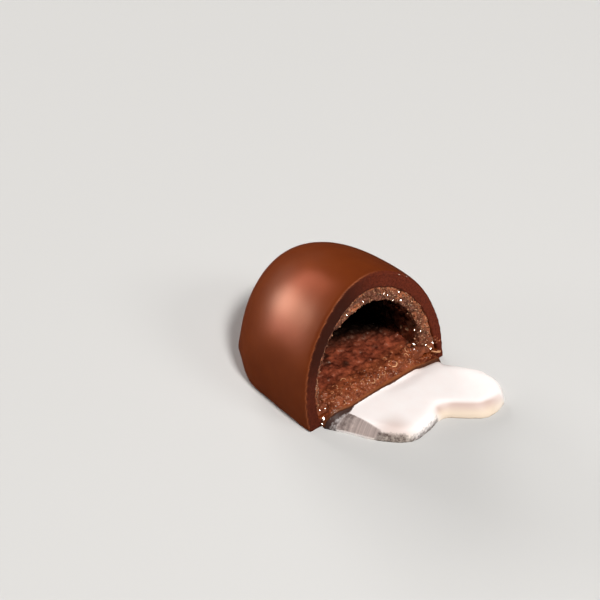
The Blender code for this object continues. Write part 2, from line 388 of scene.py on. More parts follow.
def one_mesh(name, model, copies, tones):
    """One piece from placed copies of a model's corners, each marked with its own tone."""
    corners = len(model.data.vertices)
    faces = [
        tuple(start + corner for corner in face.vertices)
        for start in range(0, len(copies) * corners, corners) for face in model.data.polygons]
    mesh = bpy.data.meshes.new(name)
    mesh.from_pydata(np.concatenate(copies).tolist(), [], faces)
    mesh.update()
    piece = new_object(name, mesh)
    mark(piece, "tone", np.repeat(tones, corners))
    print(name, "has", len(copies), "copies and", len(mesh.polygons), "faces")
    return piece


def scatter(name, model, spots, smallest, largest, sink, seed):
    """Copies of a small model on spots of a surface, turned, sized and stretched by chance."""
    chance = random.Random(seed)
    corners = places(model)
    copies = []
    tones = []
    for spot, normal in spots:
        size = chance.uniform(smallest, largest)
        angle = chance.uniform(0, math.tau)
        turn = Matrix.Rotation(angle, 3, Vector([chance.gauss(0, 1) for _ in range(3)]))
        stretch = np.array([chance.uniform(0.7, 1.3) for _ in range(3)])
        copies.append((corners * stretch * size) @ np.array(turn).T + spot - normal * size * sink)
        tones.append(chance.random())
    return one_mesh(name, model, copies, tones)


def pick_spots(piece, chosen, count, seed):
    """So many of the chosen vertices, drawn by chance, with the way their skin faces."""
    points, normals = places(piece), facings(piece)
    picked = random.Random(seed).sample(np.flatnonzero(chosen).tolist(), count)
    return [(points[index], normals[index]) for index in picked]


# %% Scatter the grains
GRAIN_SIZE = 0.24 * MM
GRAIN_COUNT = 1300
GRAIN_SINK = 0.15
RIM_DEPTH = 1.0 * MM
FILM_LEVEL = 2.4 * MM

grain = model_grain()
points = places(crust)
at_rim = (behind_cut(points) < RIM_DEPTH) & (facings(crust)[:, 0] > 0) & (points[:, 2] > FILM_LEVEL)
spots = pick_spots(crust, at_rim, GRAIN_COUNT, seed=11)
grains = scatter("sugar_grains", grain, spots, 0.4 * GRAIN_SIZE, GRAIN_SIZE, GRAIN_SINK, seed=12)
bpy.data.objects.remove(grain)

# %% [markdown]
# ## The sake
# In the hollow and on the lip it has soaked loose sugar, brown and grainy, and outside it stands
# as a white pool that throws the light back. One solid can't be both, so its copy is cut in two
# at the foot of the cut: a film of soaked sugar and syrup, and a milky pool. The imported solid
# stands clear of the sweet by a hair. Real sake wets it, so the faces next to the sweet are first
# pushed into it.

# %% Model the sake in one piece
SAKE_CELL = 0.12 * MM
SAKE_ROUNDS = 20
REACH_DOWN = 0.55 * MM
REACH_SIDEWAYS = 0.4 * MM
HOLLOW_MOUTH = 3.9 * MM
LIP_FRONT = 4.6 * MM
ON_TABLE = 0.02 * MM
OFF_FLOOR = (0.05, 0.3)

sake = copy_of("sake_filling", "sake_film")
points, normals = places(sake), facings(sake)
off_table = points[:, 2] > ON_TABLE
underside = off_table & (normals[:, 2] < -0.3) & (points[:, 0] < LIP_FRONT)
rear = off_table & (normals[:, 0] < -0.3)
flanks = off_table & (normals[:, 2] < 0.5) & (points[:, 0] < HOLLOW_MOUTH)
level = normals * [1, 1, 0]
points[rear | flanks] += REACH_SIDEWAYS * level[rear | flanks]
points[underside, 2] -= REACH_DOWN
points[:, 2] = np.maximum(points[:, 2], 0)
move_to(sake, points)
remesh(sake, SAKE_CELL)
weigh(sake, "off_floor", rise(places(sake)[:, 2], *OFF_FLOOR))
smooth(sake, SAKE_ROUNDS, "off_floor")

# %% [markdown]
# The shore, where the brown film ends and the white pool begins, is a gently curved line just in
# front of the cut. A tall block with that line as its rear face is a cookie cutter: a Boolean
# keeps what lies outside the block for the film, and what lies inside it for the pool. The film's
# front edge stands on the pool as a narrow bead, as the edge of a thicker liquid does.

# %% Cut it along the shore
SHORE = [(4.3, -9.5), (4.8, -7.5), (5.2, -5.0), (5.1, -1.5), (4.95, 1.7), (4.9, 5.0), (5.25, 7.6), (5.3, 9.5)]
BEAD_WIDTH = 0.16 * MM
BEAD_HEIGHT = 0.09 * MM
BLOCK_SIDE = 14 * MM
BLOCK_HEIGHT = 6 * MM
BLOCK_POINTS = 57


def shore_at(side):
    """How far out the shore lies, for points this far to the side."""
    out, across = (np.array(SHORE) * MM).T
    return np.interp(side, across, out)


def past_shore(piece):
    """How far the vertices lie out from the shore."""
    points = places(piece)
    return points[:, 0] - shore_at(points[:, 1])


def cut_along_shore(piece, further, operation):
    """Keep what lies inside (INTERSECT) or outside (DIFFERENCE) a block in front of the shore."""
    bottom = -BLOCK_HEIGHT / 2
    sides = np.linspace(-BLOCK_SIDE, BLOCK_SIDE, BLOCK_POINTS)
    outline = [(shore_at(side) + further, side, bottom) for side in sides]
    outline += [(2 * BLOCK_SIDE, BLOCK_SIDE, bottom), (2 * BLOCK_SIDE, -BLOCK_SIDE, bottom)]
    mesh = bpy.data.meshes.new("block")
    mesh.from_pydata(outline, [], [list(range(len(outline)))])
    block = new_object("block", mesh)
    select_only(block)
    bpy.ops.object.mode_set(mode="EDIT")
    bpy.ops.mesh.select_all(action="SELECT")
    bpy.ops.mesh.extrude_region_move(TRANSFORM_OT_translate={"value": (0, 0, BLOCK_HEIGHT)})
    bpy.ops.mesh.select_all(action="SELECT")
    bpy.ops.mesh.normals_make_consistent(inside=False)
    bpy.ops.object.mode_set(mode="OBJECT")
    apply_modifier(piece, "BOOLEAN", object=block, operation=operation, solver="EXACT")
    bpy.data.objects.remove(block)
    print(piece.name, "keeps", len(piece.data.polygons), "faces")


film = sake
pool = new_object("sake_pool", film.data.copy())
cut_along_shore(film, BEAD_WIDTH, "DIFFERENCE")
cut_along_shore(pool, 0.0, "INTERSECT")

# %% [markdown]
# The film's edge is raised into its bead, its surface in the hollow lies a little lower, and on
# the far side it climbs the crust. Both pieces are then remeshed and rounded, the pool's tongue
# most of all, and never below the foot, so that they stay flat on the table.

# %% Round the film's edge and the pool's
FILM_CELL = 0.1 * MM
POOL_CELL = 0.11 * MM
EDGE_OF_SAKE_ROUNDS = 4
TONGUE_ROUNDS = 30
TONGUE_FROM = (-1.5, 1.0)
FACES_UP = (0.3, 0.8)
FILM_SINK = 0.12 * MM
FAR_RISE = 0.35 * MM

remesh(film, FILM_CELL)
remesh(pool, POOL_CELL)
points = places(film)
on_top = ramp(facings(film)[:, 2], *FACES_UP)
at_edge = ramp(past_shore(film), -3 * BEAD_WIDTH, 0) * rise(points[:, 2], 0.6, 1.2)
in_hollow = 1 - rise(points[:, 0], 0.0, 4.0)
far_side = rise(points[:, 1], 4.5, 6.8) * (1 - in_hollow)
points[:, 2] += on_top * (BEAD_HEIGHT * at_edge - FILM_SINK * in_hollow + FAR_RISE * far_side)
move_to(film, points)
for piece in (film, pool):
    weigh(piece, "above_floor", rise(places(piece)[:, 2], *OFF_FLOOR))
    smooth(piece, EDGE_OF_SAKE_ROUNDS, "above_floor")
points = places(pool)
weigh(pool, "tongue", rise(points[:, 2], *OFF_FLOOR) * rise(points[:, 1], *TONGUE_FROM))
smooth(pool, TONGUE_ROUNDS, "tongue")

# %% [markdown]
# A thin liquid in a rough hollow isn't flat: it soaks the loose sugar and stands up on every lump.
# So the film's skin is as lumpy as the crust's own floor, with finer lumps where it has slumped
# over the lip, down to a narrow smooth band of syrup along the shore. Towards the back of the
# hollow its colour turns black, painted shade, with a few pockets of painted shade on the way
# there. The syrup band has a painted shadow line along the shore, and painted shade at its
# left end by the foot.

# %% Lumps of soaked sugar in the film
SLUMPS = (1.0, 3.0)
SYRUP_BAND = 0.17 * MM
LUMPS_FACE = (-0.2, 0.4)
LUMPS_ABOVE = (0.4, 0.8)
FILM_LUMP_DEPTH = 0.6 * MM
SLUMP_PITCH = 0.55 * MM
SLUMP_DEPTH = 0.4 * MM
FILM_GRAIN_DEPTH = 0.2 * MM
LUMPS_ON_FLOOR = 0.45
TURNS_BLACK = (3.5, 7.4)
BLACK_SLANT = 0.4
SHADE_POCKETS = [(-1.2, -2.9, 0.8), (-2.1, -2.1, 0.8), (-3.3, -0.1, 0.9), (0.5, -1.4, 0.7), (2.5, 6.4, 0.9)]
POCKET_SHADE = 0.75
SHADED_LEFT_END = (5.0, 7.0)

points = places(film)
syrup = ramp(past_shore(film), -1.4 * SYRUP_BAND, -0.7 * SYRUP_BAND)
bare = ramp(facings(film)[:, 2], *LUMPS_FACE) * (1 - syrup) * rise(points[:, 2], *LUMPS_ABOVE)
slumped = bare * rise(points[:, 0], *SLUMPS)
weigh(film, "floor", bare - slumped)
weigh(film, "all_lumps", LUMPS_ON_FLOOR * bare + (1 - LUMPS_ON_FLOOR) * slumped)
roughen(film, "soaked lumps", "floor", LUMP_PITCH, FILM_LUMP_DEPTH)
roughen(film, "slumped lumps", "all_lumps", SLUMP_PITCH, SLUMP_DEPTH)
roughen(film, "soaked grain", "all_lumps", GRAIN_PITCH, FILM_GRAIN_DEPTH)
# Painted shade: black towards the back of the hollow, and in a few pockets
painted_film_shade = rise(behind_cut(points) + BLACK_SLANT * (points[:, 1] - 3 * MM), *TURNS_BLACK)
for x, y, radius in SHADE_POCKETS:
    away = np.linalg.norm(points[:, :2] - np.array([x, y]) * MM, axis=1)
    painted_film_shade = np.maximum(painted_film_shade, POCKET_SHADE * (1 - rise(away, 0.3 * radius, radius)))
# Painted shadow along the shore, and painted shade at the band's left end by the foot
shadow_at_shore = 0.9 * rise(past_shore(film), -0.06, 0.12)
shade_at_left_end = 0.5 * rise(-points[:, 1], *SHADED_LEFT_END)
mark(film, "deep", painted_film_shade)
mark(film, "slumped", slumped)
mark(film, "syrup", syrup)
mark(film, "syrup_shade", np.maximum(shade_at_left_end, shadow_at_shore))
print("black part of the film:", round(float((painted_film_shade > 0.5).mean()), 2))

# %% [markdown]
# Soaked lumps of sugar have slumped over the lip, half sunk in the film. They also lie on the
# coating's low far foot, and a few stick to the far wall. One lump is modelled, a ball of a few
# faces pushed out of shape, and it is scattered as the grains were.

# %% Sugar on the lip
LUMP_SIZE = 0.7 * MM
LUMP_SINK = 0.3
LIP_LUMPS, FAR_FOOT_LUMPS, FAR_GAP_LUMPS, WALL_LUMPS = 190, 45, 14, 7
FAR_GAP_AT = np.array([3.9, 8.8, 2.4]) * MM
WALL_LUMPS_AT = np.array([0.6, 6.4, 6.2]) * MM


def model_lump():
    """One soaked lump of sugar, about a unit wide."""
    bpy.ops.object.select_all(action="DESELECT")
    bpy.ops.mesh.primitive_ico_sphere_add(subdivisions=2, radius=0.5)
    lump = bpy.context.object
    bpy.ops.object.mode_set(mode="EDIT")
    bpy.ops.mesh.select_all(action="SELECT")
    bpy.ops.transform.vertex_random(offset=0.12, seed=5)
    bpy.ops.transform.resize(value=(1.0, 0.85, 0.7))
    bpy.ops.object.mode_set(mode="OBJECT")
    return lump


def near(points, place, reach):
    """Which points lie within reach of a place, which is in metres, as the reach is."""
    return np.linalg.norm(points - place, axis=1) < reach


def within(values, start, end):
    """Which lengths lie between two, given in millimetres."""
    return (values > start * MM) & (values < end * MM)


lump = model_lump()
x, y, z = places(film).T
on_lip = (facings(film)[:, 2] > 0.2) & (x > 2.2 * MM) & (past_shore(film) < -0.35 * MM) & within(y, -7.0, 8.6)
spots = pick_spots(film, on_lip, LIP_LUMPS, seed=21)
points = places(coating)
behind = behind_cut(points)
far_foot = within(points[:, 1], 6.2, 9.0) & within(points[:, 2], 0.6, 1.5) & (behind < 0.4 * MM)
far_gap = near(points, FAR_GAP_AT, 0.75 * MM) & (behind < 0.7 * MM)
on_wall = near(places(crust), WALL_LUMPS_AT, 0.9 * MM) & (facings(crust)[:, 1] < -0.3)
spots += pick_spots(coating, far_foot, FAR_FOOT_LUMPS, seed=23)
spots += pick_spots(coating, far_gap, FAR_GAP_LUMPS, seed=25)
spots += pick_spots(crust, on_wall, WALL_LUMPS, seed=24)
lumps = scatter("soaked_sugar", lump, spots, 0.35 * LUMP_SIZE, 0.9 * LUMP_SIZE, LUMP_SINK, seed=22)
bpy.data.objects.remove(lump)

# %% [markdown]
# Bubbles sit in the wet sugar by the lip, and many have burst. What the eye sees of one is its
# rim, a thin ring of syrup that catches the light, and the larger rims are painted paler, as
# painted highlight. A ring is modelled as a torus, and a burst one as half of it: the bisect
# operator cuts the torus near its middle and closes both ends. The large ones and two curls at
# the right foot have their own places, and chance places the others.

# %% Rims of bubbles
RIM_SIZE = 0.55 * MM
RIM_THICKNESS = 0.15
WHOLE_BUBBLES, BURST_BUBBLES = 8, 34
LARGE_BUBBLES = [(3.6, 2.8, 1.1), (3.2, 1.1, 0.6), (4.1, -0.1, 0.8), (4.3, -0.9, 0.7), (2.9, 0.6, 0.4)]
ABOVE_FILM = 2.5
FOOT_CURLS = [(4.15, 8.75, 1.35, 1.3), (4.05, 7.95, 2.3, 0.8)]
FLAT_TO_THE_EYE = Vector((-0.35, 0.3, 1.0))
SMALL_TO_LARGE = (0.25, 0.95)


def model_rim(whole):
    """The rim of a bubble, one unit wide, whole or burst, lying in the XY plane."""
    bpy.ops.object.select_all(action="DESELECT")
    half = RIM_THICKNESS / 2
    bpy.ops.mesh.primitive_torus_add(
        major_segments=18, minor_segments=6, major_radius=0.5 - half, minor_radius=half)
    rim = bpy.context.object
    if not whole:
        bpy.ops.object.mode_set(mode="EDIT")
        bpy.ops.mesh.select_all(action="SELECT")
        bpy.ops.mesh.bisect(plane_co=(0.06, 0, 0), plane_no=(1, 0, 0), use_fill=True, clear_outer=True)
        bpy.ops.object.mode_set(mode="OBJECT")
    return rim


def nearest(piece, place):
    """The vertex nearest to a place in millimetres, and the way its skin faces."""
    points = places(piece)
    index = np.linalg.norm(points - np.array(place) * MM, axis=1).argmin()
    return points[index], facings(piece)[index]


def place_copies(name, model, rows, slack):
    """Copies of a model as one mesh. A row is a place, a size, and the way the copy's top faces."""
    chance = random.Random(len(rows))
    corners = places(model)
    copies = []
    for place, size, top in rows:
        lean = Vector([chance.uniform(-slack, slack) for _ in range(3)])
        turn = (Vector(top) + lean).to_track_quat("Z", "Y").to_matrix()
        turn = turn @ Matrix.Rotation(chance.uniform(0, math.tau), 3, "Z")
        copies.append((corners * size) @ np.array(turn).T + place)
    return one_mesh(name, model, copies, [rise(size, *SMALL_TO_LARGE) for _, size, _ in rows])


large = []
for x, y, size in LARGE_BUBBLES:
    place, normal = nearest(film, (x, y, ABOVE_FILM))
    large.append((place, size * MM, Vector(normal) + Vector((0, 0, 1))))
curls = [(np.array(place) * MM, size * MM, FLAT_TO_THE_EYE) for *place, size in FOOT_CURLS]
chance = random.Random(31)
rims = []
for whole, rows, count, seed in ((True, large, WHOLE_BUBBLES, 33), (False, curls, BURST_BUBBLES, 32)):
    for place, normal in pick_spots(film, on_lip, count, seed):
        rows.append((place, chance.uniform(0.4, 1.2) * RIM_SIZE, Vector(normal) + Vector((0, 0, 0.5))))
    model = model_rim(whole)
    rims.append(place_copies("bubble_rims" if whole else "burst_bubble_rims", model, rows, slack=0.3))
    bpy.data.objects.remove(model)
select_only(*rims)
bpy.ops.object.join()
bubbles = rims[0]

# %% [markdown]
# Here and there a clean crystal or a crumb sits on the broken sugar and flashes. A flash needs a
# flat face that lies square between the lamp and the eye, so these few are placed one by one, and
# their tops are turned that way. Angles are in degrees: an azimuth of 0 is square to the sweet's
# near long side, and 90 is straight out of the cut.

# %% Where a flat face flashes
LAMP_AZIMUTH = 82
LAMP_ELEVATION = 57
CAMERA_AZIMUTH = 49
CAMERA_ELEVATION = 39


def direction(azimuth, elevation):
    """The way from the sweet to something that stands at these angles."""
    around, above = math.radians(azimuth), math.radians(elevation)
    return Vector((math.sin(around) * math.cos(above), -math.cos(around) * math.cos(above), math.sin(above)))


square_between = direction(LAMP_AZIMUTH, LAMP_ELEVATION) + direction(CAMERA_AZIMUTH, CAMERA_ELEVATION)
square_between.normalize()
print("a flat face flashes when it faces", [round(part, 2) for part in square_between])

# %% Clean crystals
LIP_TOP = 1.2
CRYSTALS = [
    (4.25, -8.0, 0.95, 0.5), (4.3, -8.7, 0.55, 0.28), (3.60, -7.98, 1.89, 0.2), (3.71, -7.26, 1.75, 0.18),
    (1.73, -6.35, 2.30, 0.25), (2.82, 6.77, 2.53, 0.5), (3.49, 7.76, 2.30, 0.3), (0.59, 6.74, 3.65, 0.33),
    (1.38, 6.92, 3.80, 0.5), (2.78, 6.73, 4.70, 0.3), (3.35, 7.01, 4.59, 0.33), (2.46, 4.84, 9.65, 0.35),
    (2.16, 4.72, 10.68, 0.25), (2.38, 3.64, 10.31, 0.25), (2.32, 2.41, 11.76, 0.2), (2.38, 2.95, 11.38, 0.2),
    (2.06, -0.44, 12.07, 0.22), (2.20, -2.88, 11.58, 0.2), (3.68, 8.45, 1.60, 0.33), (3.62, 8.78, 2.08, 0.25)]
EDGE_CRUMBS = [(2.19, 4.74, 13.18, 0.12), (2.32, 5.78, 12.37, 0.1)]

rows = []
for *place, size in EDGE_CRUMBS:
    rows.append((nearest(coating, place)[0], size * MM, square_between))
for *place, size in CRYSTALS:
    carrier = film if place[2] < LIP_TOP else crust
    rows.append((nearest(carrier, place)[0], size * MM, square_between))
grain = model_grain()
crystals = place_copies("clean_crystals", grain, rows, slack=0.02)
bpy.data.objects.remove(grain)

# %% [markdown]
# ## Colours
# Colours are noted as on a screen, in hex, and Blender's shaders reckon in linear light, so one
# function turns one into the other. Another adds a node to a material, with its settings and
# links, and every material below is built with it. A Mix node of colours takes its share at input
# 0 and its colours at 6 and 7, and gives the result at output 2, because sockets for numbers and
# vectors come before them. A noise's scale is one over the size of its lumps.

# %% Colour and node helpers
def linear(colour):
    """A hex colour of the screen as linear red, green, blue and alpha."""
    channels = [int(colour[start:start + 2], 16) / 255 for start in (1, 3, 5)]
    return tuple(c / 12.92 if c <= 0.04045 else ((c + 0.055) / 1.055) ** 2.4 for c in channels) + (1.0,)


def fill_inputs(node, inputs):
    """Set a node's inputs, by name or number, to links, hex colours or other values."""
    for name, value in inputs.items():
        if isinstance(value, bpy.types.NodeSocket):
            node.id_data.links.new(value, node.inputs[name])
        else:
            node.inputs[name].default_value = linear(value) if isinstance(value, str) else value


def add_node(material, kind, inputs=None, **settings):
    """A shader node with its settings; each input is a value or the output that feeds it."""
    node = material.node_tree.nodes.new("ShaderNode" + kind)
    for name, value in settings.items():
        setattr(node, name, value)
    fill_inputs(node, inputs or {})
    return node


def new_material(name):
    """A material, its bare Principled surface, and add_node set to work in this material."""
    material = bpy.data.materials.new(name)
    material.use_nodes = True
    return material, material.node_tree.nodes["Principled BSDF"], partial(add_node, material)


def scale_for(size):
    """The scale of a noise texture whose lumps are this many millimetres big."""
    return 1 / (size * MM)


print("lumps of 1 mm need a scale of", scale_for(1))

# %% [markdown]
# ## Milk chocolate, panned and polished
# Cocoa butter sets with a satin skin: the eye sees a broad soft highlight with a warm rim to it
# and a very fine unevenness, like orange peel in miniature. The cut face is duller and redder.

# %% Chocolate
def make_chocolate():
    material, surface, add = new_material("milk chocolate, panned and polished")
    place = add("TexCoord").outputs["Object"]
    cut, shaded, edge = [
        add("Attribute", attribute_name=name).outputs["Fac"] for name in ("cut", "shaded", "edge")]
    # Slow cloudiness of cocoa butter, lumps of 2.5 mm
    cloudy = add("TexNoise", {
        "Vector": place, "Scale": scale_for(2.5), "Detail": 3.0, "Roughness": 0.5}).outputs["Fac"]
    skin = add("Mix", {0: cloudy, 6: "#5E2710", 7: "#6F3112"}, data_type="RGBA").outputs[2]
    # Crumbled chocolate on the cut, 0.2 mm
    crumb = add("TexNoise", {
        "Vector": place, "Scale": scale_for(0.2), "Detail": 3.0, "Roughness": 0.6}).outputs["Fac"]
    crumbled = add("MapRange", {"Value": crumb, "From Min": 0.3, "From Max": 0.7}).outputs[0]
    fresh = add("Mix", {0: crumbled, 6: "#43150B", 7: "#6C2B1A"}, data_type="RGBA").outputs[2]
    # Painted shade darkens the left half of the cut face
    inside = add("Mix", {0: shaded, 6: fresh, 7: "#34120A"}, data_type="RGBA").outputs[2]
    cut_or_skin = add("Mix", {0: cut, 6: skin, 7: inside}, data_type="RGBA").outputs[2]
    # A painted highlight: a pale line along the edge of the cut
    colour = add("Mix", {0: edge, 6: cut_or_skin, 7: "#8E4B2B"}, data_type="RGBA").outputs[2]
    # The peel of the polished skin, 0.35 mm
    peel = add("TexNoise", {
        "Vector": place, "Scale": scale_for(0.35), "Detail": 2.0}).outputs["Fac"]
    gloss = add("MapRange", {"Value": cut, "To Min": 0.32, "To Max": 0.75}).outputs[0]
    uneven = add("Mix", {0: cut, 2: peel, 3: crumb}).outputs[0]
    depth = add("MapRange", {
        "Value": cut, "To Min": 0.02 * MM, "To Max": 0.07 * MM}).outputs[0]
    relief = add("Bump", {
        "Height": uneven, "Strength": 0.3, "Distance": depth}).outputs["Normal"]
    fill_inputs(surface, {
        "Base Color": colour, "Roughness": gloss, "Normal": relief, "IOR": 1.5,
        "Specular IOR Level": 0.25, "Specular Tint": "#FFD0B0"})
    return material


coating.data.materials.append(make_chocolate())
print("coating wears", coating.data.materials[0].name)

# %% [markdown]
# ## Crystallised sugar
# Dry, it is a crowd of tiny crystals, brown from the cocoa around it and speckled. Wet, it is
# redder and shines, because the sake fills the dips between the crystals: that is a clear coat
# over a rough base. The clean crystals are smooth enough to flash as white points.

# %% Sugar
WATERY_IOR = 1.36


def make_sugar():
    material, surface, add = new_material("crystallised sugar, stained by cocoa")
    place = add("TexCoord").outputs["Object"]
    wet, skin, deep = [
        add("Attribute", attribute_name=name).outputs["Fac"] for name in ("wet", "skin", "deep")]
    # Crystals of 0.3 mm, specks of 0.4 mm, and stains of 1.6 mm
    crystal = add("TexVoronoi", {"Vector": place, "Scale": scale_for(0.3)}, feature="F1")
    speck = add("TexNoise", {
        "Vector": place, "Scale": scale_for(0.4), "Detail": 4.0, "Roughness": 0.6}).outputs["Fac"]
    specked = add("MapRange", {"Value": speck, "From Min": 0.35, "From Max": 0.65}).outputs[0]
    stain = add("TexNoise", {
        "Vector": place, "Scale": scale_for(1.6), "Detail": 5.0, "Roughness": 0.6}).outputs["Fac"]
    contrast = add("MapRange", {"Value": stain, "From Min": 0.3, "From Max": 0.7}).outputs[0]
    dry = add("Mix", {0: specked, 6: "#361B10", 7: "#875341"}, data_type="RGBA").outputs[2]
    soaked = add("Mix", {0: contrast, 6: "#43190F", 7: "#A25A3C"}, data_type="RGBA").outputs[2]
    rim = add("Mix", {0: skin, 6: dry, 7: "#A25F40"}, data_type="RGBA").outputs[2]
    near_cut = add("Mix", {0: wet, 6: rim, 7: soaked}, data_type="RGBA").outputs[2]
    # Painted shade: far in the hollow the sugar is painted nearly black
    colour = add("Mix", {0: deep, 6: near_cut, 7: "#1C0F0A"}, data_type="RGBA").outputs[2]
    gloss = add("MapRange", {"Value": wet, "To Min": 0.45, "To Max": 0.35}).outputs[0]
    shine = add("MapRange", {"Value": wet, "To Min": 0.0, "To Max": 0.8}).outputs[0]
    relief = add("Bump", {
        "Height": crystal.outputs["Distance"], "Strength": 0.5, "Distance": 0.08 * MM}).outputs["Normal"]
    fill_inputs(surface, {
        "Base Color": colour, "Roughness": gloss, "Normal": relief, "IOR": 1.54,
        "Specular IOR Level": 0.35, "Specular Tint": "#FFC8A4",
        "Coat Weight": shine, "Coat Roughness": 0.12, "Coat IOR": WATERY_IOR})
    return material


def make_grain_sugar():
    material, surface, add = new_material("loose sugar grains, broken crystal")
    tone = add("Attribute", attribute_name="tone").outputs["Fac"]
    # Three in five grains are brown with cocoa, and the others are paler by degrees
    clean = add("MapRange", {"Value": tone, "From Min": 0.6, "From Max": 1.0}).outputs[0]
    colour = add("Mix", {0: clean, 6: "#5E3321", 7: "#BC8B68"}, data_type="RGBA").outputs[2]
    fill_inputs(surface, {
        "Base Color": colour, "Roughness": 0.3, "IOR": 1.54, "Specular Tint": "#FFDCC0"})
    return material


def make_clean_sugar():
    material, surface, add = new_material("sugar, clean crystal")
    fill_inputs(surface, {
        "Base Color": "#B98A68", "Roughness": 0.07, "IOR": 1.54, "Transmission Weight": 0.3})
    return material


def make_soaked_sugar():
    material, surface, add = new_material("soaked sugar, wet with sake")
    place = add("TexCoord").outputs["Object"]
    tone = add("Attribute", attribute_name="tone").outputs["Fac"]
    # Grains of 0.25 mm inside each lump
    speckle = add("TexNoise", {
        "Vector": place, "Scale": scale_for(0.25), "Detail": 2.0}).outputs["Fac"]
    mixed = add("Math", {0: speckle, 1: tone}, operation="MULTIPLY").outputs[0]
    colour = add("Mix", {0: mixed, 6: "#672C1A", 7: "#B86A40"}, data_type="RGBA").outputs[2]
    fill_inputs(surface, {
        "Base Color": colour, "Roughness": 0.4, "IOR": 1.5, "Specular Tint": "#FFCFAE",
        "Coat Weight": 0.25, "Coat Roughness": 0.12, "Coat IOR": WATERY_IOR})
    return material


for piece, make in (
        (crust, make_sugar), (grains, make_grain_sugar), (lumps, make_soaked_sugar),
        (crystals, make_clean_sugar)):
    piece.data.materials.append(make())
    print(piece.name, "wears", piece.data.materials[0].name)

# %% [markdown]
# ## Where the pool changes colour
# Where the pool is thin at its left end it is glassy, in a facet that the surface tension draws
# flat, and the grey streaks in it are painted shade. Painted shade, flecked, lies along the near
# edge and by the foot of the cut. The tongue's side that faces the near side is cream with painted
# shade, greyer high up, and a cream tint lies by the far shore and on the near middle. The places
# are measured in plan, and attributes keep them.

# %% Mark the pool
FACET_FROM = Vector((5.97 * MM, -5.6 * MM, 0))
FACET_RUN = Vector((0.97, 0.24, 0))

x, y, z = places(pool).T
past = past_shore(pool)
normals = facings(pool)
below_facet = rise(FACET_FROM.y + FACET_RUN.y / FACET_RUN.x * (x - FACET_FROM.x) - y, 0, 0.15)
on_facet = rise(x, 5.6, 6.0) * (1 - rise(x, 9.6, 10.2)) * rise(z, 0.2, 0.35)
facet_start = on_facet * below_facet * (1 - rise(x, 6.2, 8.0))
by_foot = rise(-y - 4.4 * MM - 1.9 * (x - 5.4 * MM), 0, 0.4) * (1 - rise(x, 5.7, 6.1))
against_foot = 1 - rise(past, 0.3, 0.7)
near_bump = rise(x, 9.4, 10.0) * (1 - rise(y, -3.3, -2.3)) * (1 - rise(z, 0.9, 1.35))
near_edge = rise(x, 10.8, 11.8) * (1 - rise(y, 1.6, 2.4)) * (1 - rise(z, 0.2, 1.5))
tongue_side = rise(y - 0.55 * (x - 12.5 * MM), 1.4, 3.2) * rise(x - 0.3 * y, 9.6, 10.8)
before_end = 1 - 0.35 * rise(y, 7.0, 9.0)
sloped = 1 - rise(z, 1.25, 1.55)
to_the_near = ramp(normals[:, 0] - normals[:, 1], 0.0, 0.6)
far_shore = rise(y, 2.5, 5.5) * (1 - rise(past, 0.1, 0.8))
blush = rise(x, 8.0, 11.0) * (1 - rise(y, -3.6, -1.0))
mark(pool, "facet", below_facet * on_facet)
mark(pool, "high", rise(z, 0.5, 1.3))
# Painted shade on the tongue's side that faces the near side, and a cream tint by the far shore and on the
# near middle
mark(pool, "cream_and_shade", np.maximum.reduce([
    sloped * tongue_side * to_the_near * before_end, 0.7 * far_shore, 0.65 * blush]))
# Painted shade, flecked in the material: along the near edge, by the foot of the cut, and where the facet
# starts
mark(pool, "cocoa", np.maximum.reduce([
    (0.75 + 0.35 * against_foot) * by_foot, 0.66 * near_bump, 0.64 * near_edge, 0.5 * facet_start]))
print("facet:", int((below_facet * on_facet > 0.5).sum()), "vertices")

# %% [markdown]
# ## Sake
# Rice wine with sugar in it bends light a little more than water. The film shows the sugar soaked
# in it, under a wet gloss, and brown syrup along the shore. The pool scatters light like thinned
# milk, and lets some of it through in its thin facet.

